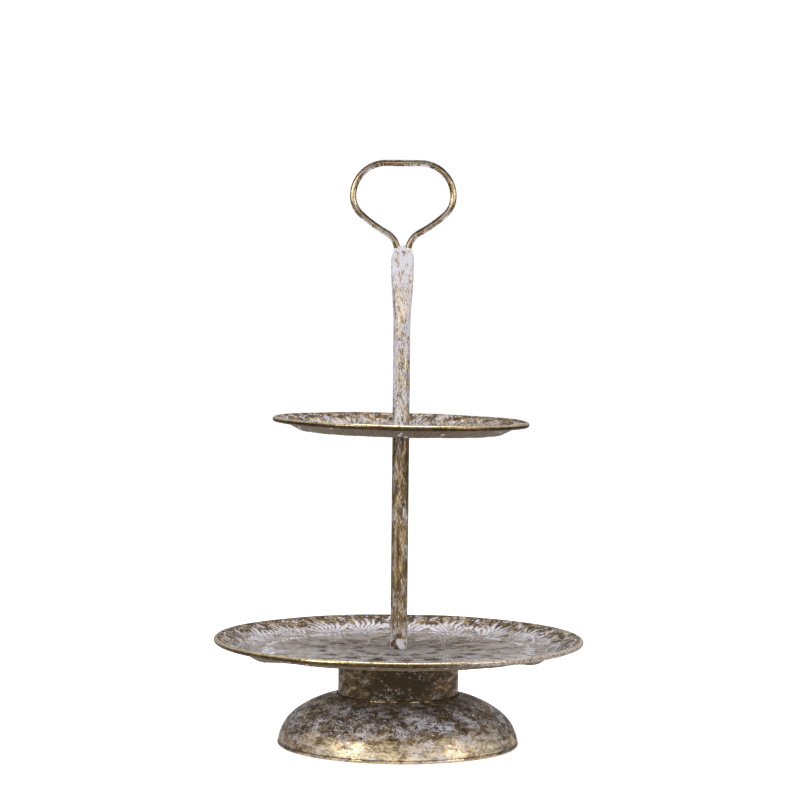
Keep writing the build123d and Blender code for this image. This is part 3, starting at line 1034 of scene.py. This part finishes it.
    def lean(self, points):
        """Leans points about the middle of the floor's underside."""
        c, s = cos(self.tilt), sin(self.tilt)
        x, z = points[..., 0].copy(), points[..., 2] - self.base_z
        out = points.copy()
        out[..., 0], out[..., 2] = c * x + s * z, self.base_z - s * x + c * z
        return out


def both_plates():
    """Both plates, by name."""
    s = settings("plate")
    bulge = s.bulge / MM
    lower = Plate("lower_plate", s.lower_slope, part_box("lower_plate")[0].z, s.lower_fans,
                  knocks=((radians(-27), 143.0, 18.0, 10.0, bulge),
                          (radians(207), 144.0, 26.0, 11.0, bulge)))
    upper = Plate("upper_plate", s.upper_slope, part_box("lower_post")[1].z + s.fibre, s.upper_fans,
                  s.upper_tilt)
    return {"lower": lower, "upper": upper}


@operator("Plates")
def plates():
    """Pressed plates with rolled rims"""
    floors = {
        "lower": (660, [(0.16, 3), (0.28, 8), (0.39, 2), (0.53, 9), (0.76, 4), (1.0, 26)]),
        "upper": (680, [(0.16, 3), (0.28, 6), (0.39, 2), (0.53, 7), (0.64, 3), (1.0, 28)]),
    }
    for tier, plate in both_plates().items():
        name = tier + "_plate_pressed"
        piece = link(name, plate.mesh(name, *floors[tier]))
        settle(piece, tier + "_tier", "plate_metal", tier + "_plate", material=finish("plate"))


def build_pearl_group():
    """Garlands of pearls, one bowed round the tips of each petal fan, laid on the plate's wall."""
    tree, given, result = start_group(
        "Pearl garlands",
        [("Fans", "Int", 20), ("Fan Base", "Float", 0.13), ("Garland Radius", "Float", 0.03),
         ("Half Sweep", "Float", 1.0), ("Pearls", "Int", 9), ("Pearl Radius", "Float", 0.001),
         ("Knee Radius", "Float", 0.138), ("Slope", "Float", 0.36), ("Floor Top", "Float", 0.09),
         ("Outer Limit", "Float", 0.17), ("Seed", "Int", 5), ("Material", "Material", None)],
        [("Geometry", "Geometry")], "GeometryNodeTree")
    arc = put(tree, "GeometryNodeCurveArc", {
        "Resolution": given["Pearls"], "Radius": given["Garland Radius"],
        "Start Angle": times(given["Half Sweep"], -1.0),
        "Sweep Angle": times(given["Half Sweep"], 2.0)}, mode="RADIUS")
    out = put(tree, "ShaderNodeCombineXYZ", {0: given["Fan Base"]}).outputs[0]
    garland = put(tree, "GeometryNodeTransform", {"Geometry": arc.outputs[0], "Translation": out})
    middles = put(tree, "GeometryNodeMeshLine", {"Count": given["Fans"], "Offset": (0, 0, 0)})
    index = put(tree, "GeometryNodeInputIndex").outputs[0]
    turn = calc("DIVIDE", times(index, 2 * pi), given["Fans"])
    spun = put(tree, "GeometryNodeInstanceOnPoints", {
        "Points": middles.outputs[0], "Instance": garland.outputs[0],
        "Rotation": put(tree, "ShaderNodeCombineXYZ", {2: turn}).outputs[0]})
    curves = put(tree, "GeometryNodeRealizeInstances", {0: spun.outputs[0]})
    points = put(tree, "GeometryNodeCurveToPoints", {"Curve": curves.outputs[0]}, mode="EVALUATED")
    place = put(tree, "GeometryNodeInputPosition").outputs[0]
    flat = put(tree, "ShaderNodeVectorMath", {0: place}, operation="LENGTH").outputs["Value"]
    climb = calc("MAXIMUM", minus(flat, given["Knee Radius"]), 0.0)
    height = plus(times(climb, given["Slope"]), given["Floor Top"])
    outside = put(tree, "FunctionNodeCompare", {0: flat, 1: given["Outer Limit"]},
                  data_type="FLOAT", operation="GREATER_THAN").outputs[0]
    kept = put(tree, "GeometryNodeDeleteGeometry", {"Geometry": points.outputs[0], "Selection": outside})
    lifted = put(tree, "GeometryNodeSetPosition", {
        "Geometry": kept.outputs[0],
        "Offset": put(tree, "ShaderNodeCombineXYZ", {2: height}).outputs[0]})
    pearl = put(tree, "GeometryNodeMeshIcoSphere", {"Radius": given["Pearl Radius"], "Subdivisions": 2})
    flatter = put(tree, "GeometryNodeTransform", {"Geometry": pearl.outputs[0], "Scale": (1, 1, 0.7)})
    vary = put(tree, "FunctionNodeRandomValue", {2: 0.75, 3: 1.15, "Seed": given["Seed"]}, data_type="FLOAT")
    pearls = put(tree, "GeometryNodeInstanceOnPoints", {
        "Points": lifted.outputs[0], "Instance": flatter.outputs[0], "Scale": vary.outputs[1]})
    whole = put(tree, "GeometryNodeRealizeInstances", {0: pearls.outputs[0]})
    done = put(tree, "GeometryNodeSetMaterial", {0: whole.outputs[0], "Material": given["Material"]})
    feed(result.inputs[0], done.outputs[0])


@operator("Pearls")
def pearls():
    """Raised pearls round the petal fans"""
    build_pearl_group()
    size = settings("plate").pearl
    for tier, plate in both_plates().items():
        pearls = grow(tier + "_plate_pearls", "Pearl garlands", {
            "Fans": plate.fans, "Fan Base": plate.fan_base * MM, "Garland Radius": (plate.reach + 2.6) * MM,
            "Half Sweep": radians(66), "Pearls": 17, "Pearl Radius": size,
            "Knee Radius": plate.knee * MM, "Slope": tan(plate.slope),
            "Floor Top": (plate.base_z + plate.sheet + 0.1) * MM,
            "Outer Limit": (plate.outer - 0.3) * MM, "Material": finish("pearl")})
        co = np.empty(len(pearls.data.vertices) * 3)
        pearls.data.vertices.foreach_get("co", co)
        leaning = plate.lean(co.reshape(-1, 3) / MM) * MM
        pearls.data.vertices.foreach_set("co", leaning.ravel())
        settle(pearls, tier + "_tier", "plate_metal")


# ---- posts and screws ----
def tube_section(turn, z, top, low, shrink):
    """One ring of the upper tube: round low down, a flattened oval with cut corners at the top."""
    s = settings("post")
    round_r = -low.y
    ease = float(smooth(np.array(z), s.pinch_from, s.pinch_to))
    wide = round_r + (s.pinch_wide / 2 - round_r) * ease - shrink
    thick = round_r + (s.pinch_thick / 2 - round_r) * ease - shrink
    power = 1 - 0.30 * ease
    x = wide * np.sign(np.cos(turn)) * np.abs(np.cos(turn)) ** power
    y = thick * np.sign(np.sin(turn)) * np.abs(np.sin(turn)) ** power
    over = np.clip((z - (top - s.shoulder_drop)) / s.shoulder_drop, 0, 1)
    limit = s.pinch_wide / 2 + (s.shoulder_wide / 2 - s.pinch_wide / 2) * over - shrink
    x = np.clip(x, -limit, limit)
    y = y + 0.12 * MM * ease * np.sin(x / MM * 0.9 + z / MM * 0.35)
    return np.stack([x, y, np.full_like(x, z)], -1)


@operator("Posts")
def posts():
    """Lower tube, and upper tube pressed flat at its end"""
    s = settings("post")
    turn = np.linspace(0, 2 * pi, 72, endpoint=False)[None, :]
    low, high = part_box("lower_post")
    heights = np.linspace(low.z, high.z, 120)
    outer = np.array([[high.x, z] for z in heights])
    outline = np.vstack([[high.x - s.wall, low.z], outer, [high.x - s.wall, high.z]])
    dents = np.zeros((len(outline), 1))
    dents[3:-3, 0] = 0.05 * MM * np.sin(np.arange(len(outline) - 6) * 0.31) * np.sin(
        np.arange(len(outline) - 6) * 0.073)
    mesh = from_rows("lower_tube", spin(outline, turn, dents), outline[:, 1])
    piece = link("lower_tube", mesh)
    settle(piece, "lower_post", "post_metal", "lower_post", material=finish("lower post"))

    low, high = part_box("upper_post")
    heights = np.unique(np.concatenate([
        np.linspace(low.z, s.pinch_from, 50), np.linspace(s.pinch_from, s.pinch_to, 30),
        np.linspace(s.pinch_to, high.z, 18)]))
    rows = []
    for shrink, ordered in ((0.0, heights), (s.wall, heights[::-1])):
        for z in ordered:
            rows.append(tube_section(turn[0], z, high.z, low, shrink))
    mesh = from_rows("upper_tube", np.array(rows), np.concatenate([heights, heights[::-1]]))
    piece = link("upper_tube", mesh)
    settle(piece, "upper_post", "post_metal", "upper_post", material=finish("upper post"))


def thread_rows(radius, low, high, pitch, depth, around=28, per_turn=8):
    """Rows of a screw thread whose crests climb one pitch a turn, with a plain start at each end."""
    count = int((high - low) / pitch * per_turn)
    heights = np.linspace(low, high, count)[:, None]
    turn = np.linspace(0, 2 * pi, around, endpoint=False)[None, :]
    phase = (heights / pitch - turn / (2 * pi)) % 1.0
    groove = np.abs(phase - 0.5) * 2
    fade = smooth(heights - low, 0, pitch) * smooth(high - heights, 0, pitch)
    r = radius - depth * groove * fade - 0.25 * depth * (1 - fade)
    return np.stack([r * np.cos(turn), r * np.sin(turn), heights + 0 * turn], -1)


@operator("Screws")
def screws():
    """Threaded bolt in the foot, and threaded stud between the posts"""
    s = settings("post")
    low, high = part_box("joining_stud")
    rows = thread_rows(s.stud, low.z, high.z, s.pitch, s.thread)
    stud = link("threaded_stud", from_rows("threaded_stud", rows, ends=True))
    settle(stud, "upper_post", "steel", "joining_stud", material=finish("zinc"))

    low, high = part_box("base_bolt")
    head = 4.0 * MM
    rows = thread_rows(s.stud, low.z + head * 0.9, high.z, s.pitch, s.thread)
    bolt = link("hexagon_bolt", from_rows("hexagon_bolt", rows, ends=True))
    corners = np.arange(6) * pi / 3 + pi / 6
    apothem = s.hex_flats / 2
    rings = ((apothem * 0.92, low.z), (apothem / cos(pi / 6), low.z + 0.7 * MM),
             (apothem / cos(pi / 6), low.z + head - 0.2 * MM), (apothem * 1.08, low.z + head))
    rows = np.array([[[r * cos(a), r * sin(a), z] for a in corners] for r, z in rings])
    hexagon = from_rows("bolt_head", rows, ends=True)
    hexagon.polygons.foreach_set("use_smooth", np.zeros(len(hexagon.polygons), bool))
    joined = link("bolt_head", hexagon)
    with bpy.context.temp_override(active_object=bolt, selected_editable_objects=[bolt, joined]):
        bpy.ops.object.join()
    settle(bolt, "base", "steel", "base_bolt", material=finish("zinc"))


# ---- carrying loop ----
def loop_path():
    """Middle line of the rod, from one leg's foot round to the other's, in metres."""
    s = settings("post")
    straight = (s.leg_bend - s.leg_foot) / MM
    half = [(straight, 0, 8), (20.5, radians(61), 12), (130.0, -radians(13), 8),
            (23.3, -radians(48), 12), (31.0, -radians(90), 24)]
    foot = (-s.leg / MM, s.leg_foot / MM)
    ends, _ = trace(foot, pi / 2, half)
    top_bar = -2 * ends[-1][0]
    points, lefts = trace(foot, pi / 2, [*half, (top_bar, 0, 14), *half[::-1]])
    return points * MM, lefts


@operator("Carrying loop")
def loop():
    """Bent rod that the stand is carried by, with its weld"""
    s = settings("post")
    points, lefts = loop_path()
    turn = np.linspace(0, 2 * pi, 28, endpoint=False)
    along = np.arange(len(points))
    radius = s.rod * (1 + 0.012 * np.sin(along * 0.47) + 0.010 * np.sin(along * 0.19 + 1))[:, None]
    flat = radius * np.cos(turn)
    rows = np.stack([points[:, 0][:, None] + lefts[:, 0][:, None] * flat,
                     radius * np.sin(turn), points[:, 1][:, None] + lefts[:, 1][:, None] * flat], -1)
    up = lefts[:, 1][:, None] * np.cos(turn)
    rod = link("bent_rod", from_rows("bent_rod", rows, along / len(along), {"up": up}, ends=True))
    settle(rod, "upper_post", "rod_metal", "handle_loop", material=finish("rod"))

    low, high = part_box("handle_weld")
    middle, reach = (low + high) / 2, (high.z - low.z) / 2
    lumps = ((0, 0, 0.1, 1.0), (-0.75, -0.25, -0.15, 0.72), (0.8, 0.2, -0.1, 0.70),
             (-0.1, -0.62, 0.3, 0.55), (0.15, 0.60, 0.25, 0.55), (0.1, -0.4, 0.75, 0.42))
    vertices, faces = [], []
    for x, y, z, size in lumps:
        bpy.ops.mesh.primitive_ico_sphere_add(subdivisions=3, radius=reach * size)
        ball = bpy.context.object
        first = len(vertices)
        spot = middle + Vector((x, y, z)) * reach
        vertices += [tuple(v.co + spot) for v in ball.data.vertices]
        faces += [[first + n for n in p.vertices] for p in ball.data.polygons]
        bpy.data.objects.remove(ball)
    mesh = bpy.data.meshes.new("weld_lumps")
    mesh.from_pydata(vertices, [], faces)
    rough = link("weld_lumps", mesh)
    melt = rough.modifiers.new("melt", "REMESH")
    melt.mode, melt.voxel_size = "VOXEL", 0.35 * MM
    settle_down = rough.modifiers.new("settle", "SMOOTH")
    settle_down.iterations = 4
    depsgraph = bpy.context.evaluated_depsgraph_get()
    weld_mesh = bpy.data.meshes.new_from_object(rough.evaluated_get(depsgraph), depsgraph=depsgraph)
    bpy.data.objects.remove(rough)
    weld_mesh.polygons.foreach_set("use_smooth", np.ones(len(weld_mesh.polygons), bool))
    weld = link("loop_weld", weld_mesh)
    settle(weld, "upper_post", "rod_metal", "handle_weld", material=finish("upper post"))


# ---- parts that keep their shape ----
@operator("Small parts")
def small_parts():
    """Finishes of the cap, wires, washers and slugs, whose shapes stay"""
    kept = {
        "neck": ["neck_cap"],
        "zinc": ["bolt_spring_washer", "bolt_penny_washer", "lower_post_washer", "upper_post_washer",
                 "lower_rim_wire", "upper_rim_wire"],
        "brass": ["lower_post_bottom_plug", "lower_post_top_plug", "upper_post_plug"],
        "fibre": ["upper_plate_under_washer", "upper_plate_top_washer"],
    }
    for name, nodes in kept.items():
        for node in nodes:
            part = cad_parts[node]
            if not part.material_slots:
                part.data.materials.append(None)
            for slot in part.material_slots:
                slot.material = finish(name)


# ---- studio ----
def softbox(name, place, target, width, tall, watts, tint=(1, 1, 1)):
    light = bpy.data.lights.new(name, "AREA")
    light.shape, light.size, light.size_y = "RECTANGLE", width, tall
    light.energy, light.color = watts, tint
    lamp = bpy.data.objects.new(name, light)
    bpy.context.scene.collection.objects.link(lamp)
    aim = (Vector(target) - Vector(place)).to_track_quat("-Z", "Y")
    lamp.matrix_world = Matrix.Translation(place) @ aim.to_matrix().to_4x4()
    return lamp


@operator("Studio")
def studio():
    """Pale floor, white surroundings, softboxes and camera"""
    s = settings("studio")
    scene = bpy.context.scene
    scene.view_settings.view_transform = "Standard"
    turn = np.linspace(0, 2 * pi, 96, endpoint=False)
    mesh = bpy.data.meshes.new("pale_floor")
    mesh.from_pydata([(s.floor * cos(a), s.floor * sin(a), 0) for a in turn], [], [list(range(96))])
    floor = link("pale_floor", mesh)
    material, place, shader = start_material("pale floor")
    tree = place.id_data
    paper = blend(noise(place, 8.0), (0.88, 0.88, 0.88), (0.92, 0.92, 0.92))
    x, y, _ = parts(place)
    near = times(step(y, -1.1, -0.35), step(calc("ABSOLUTE", x), 0.30, 1.1, 1.0, 0.0))
    seen = put(tree, "ShaderNodeLightPath").outputs["Is Camera Ray"]
    shown = calc("MAXIMUM", seen, near)
    tree.links.new(blend(shown, (0.05, 0.05, 0.05), paper), shader.inputs["Base Color"])
    shader.inputs["Roughness"].default_value = 0.9
    shader.inputs["Emission Color"].default_value = (1, 1, 1, 1)
    glow = times(plus(0.1, times(seen, 0.62)), shown)
    tree.links.new(glow, shader.inputs["Emission Strength"])
    floor.data.materials.append(material)

    world = bpy.data.worlds.new("white studio")
    scene.world = world
    world.use_nodes = True
    tree = world.node_tree
    tree.nodes.clear()
    way = put(tree, "ShaderNodeSeparateXYZ", {0: put(tree, "ShaderNodeTexCoord").outputs["Generated"]})
    front = step(way.outputs[1], -0.30, 0.65, 0.05, 0.42)
    above = step(way.outputs[2], 0.2, 0.95, 0.0, 0.40)
    low_band = times(step(way.outputs[2], -0.02, 0.03), step(way.outputs[2], 0.30, 0.20, 0.0, 1.0))
    window = times(low_band, step(way.outputs[1], -0.75, -0.88))
    surround = plus(plus(front, above), times(window, 2.0))
    camera_ray = put(tree, "ShaderNodeLightPath").outputs["Is Camera Ray"]
    seen = put(tree, "ShaderNodeBackground", {"Color": (1, 1, 1, 1), "Strength": 1.05})
    cast = put(tree, "ShaderNodeBackground", {"Color": (1, 0.985, 0.97, 1), "Strength": surround})
    mix = put(tree, "ShaderNodeMixShader", {0: camera_ray, 1: cast.outputs[0], 2: seen.outputs[0]})
    put(tree, "ShaderNodeOutputWorld", {"Surface": mix.outputs[0]})

    middle = (0, 0, 0.25)
    softbox("left softbox", (-1.7, -1.5, 1.1), middle, 0.7, 1.5, 26)
    softbox("right softbox", (1.9, -1.2, 0.9), middle, 0.7, 1.5, 19)
    softbox("top softbox", (0, 0.1, 2.2), middle, 1.4, 1.4, 20)

    view = bpy.data.cameras.new("view")
    view.lens, view.sensor_width = s.lens, 36.0
    camera = bpy.data.objects.new("view", view)
    scene.collection.objects.link(camera)
    camera.location = (s.aside, -s.distance, s.height)
    camera.rotation_euler = (pi / 2 - s.pitch, s.roll, 0)
    scene.camera = camera


# ---- panel, registration and run ----


class CAKESTAND_PT_panel(bpy.types.Panel):
    """Lists the stand's pieces and sizes"""

    bl_idname = "CAKESTAND_PT_panel"
    bl_label = "Tiered cake stand"
    bl_space_type = "VIEW_3D"
    bl_region_type = "UI"
    bl_category = "Cake Stand"

    def draw(self, context):
        for piece in PIECES:
            self.layout.operator(piece.bl_idname)
        for name in SETTINGS:
            box = self.layout.box()
            group = getattr(context.scene, name)
            for prop in group.bl_rna.properties:
                if prop.identifier not in {"rna_type", "name"}:
                    box.prop(group, prop.identifier)


CLASSES = (*SETTINGS.values(), *PIECES, CAKESTAND_PT_panel)


def register():
    for cls in CLASSES:
        bpy.utils.register_class(cls)
    for name, group in SETTINGS.items():
        setattr(bpy.types.Scene, name, PointerProperty(type=group))


def unregister():
    for name in SETTINGS:
        delattr(bpy.types.Scene, name)
    for cls in reversed(CLASSES):
        bpy.utils.unregister_class(cls)


def main():
    register()
    for build in EFFECTS:
        build()
    for piece in PIECES:
        group, name = piece.bl_idname.split(".")
        getattr(getattr(bpy.ops, group), name)()


if __name__ == "__main__":
    main()
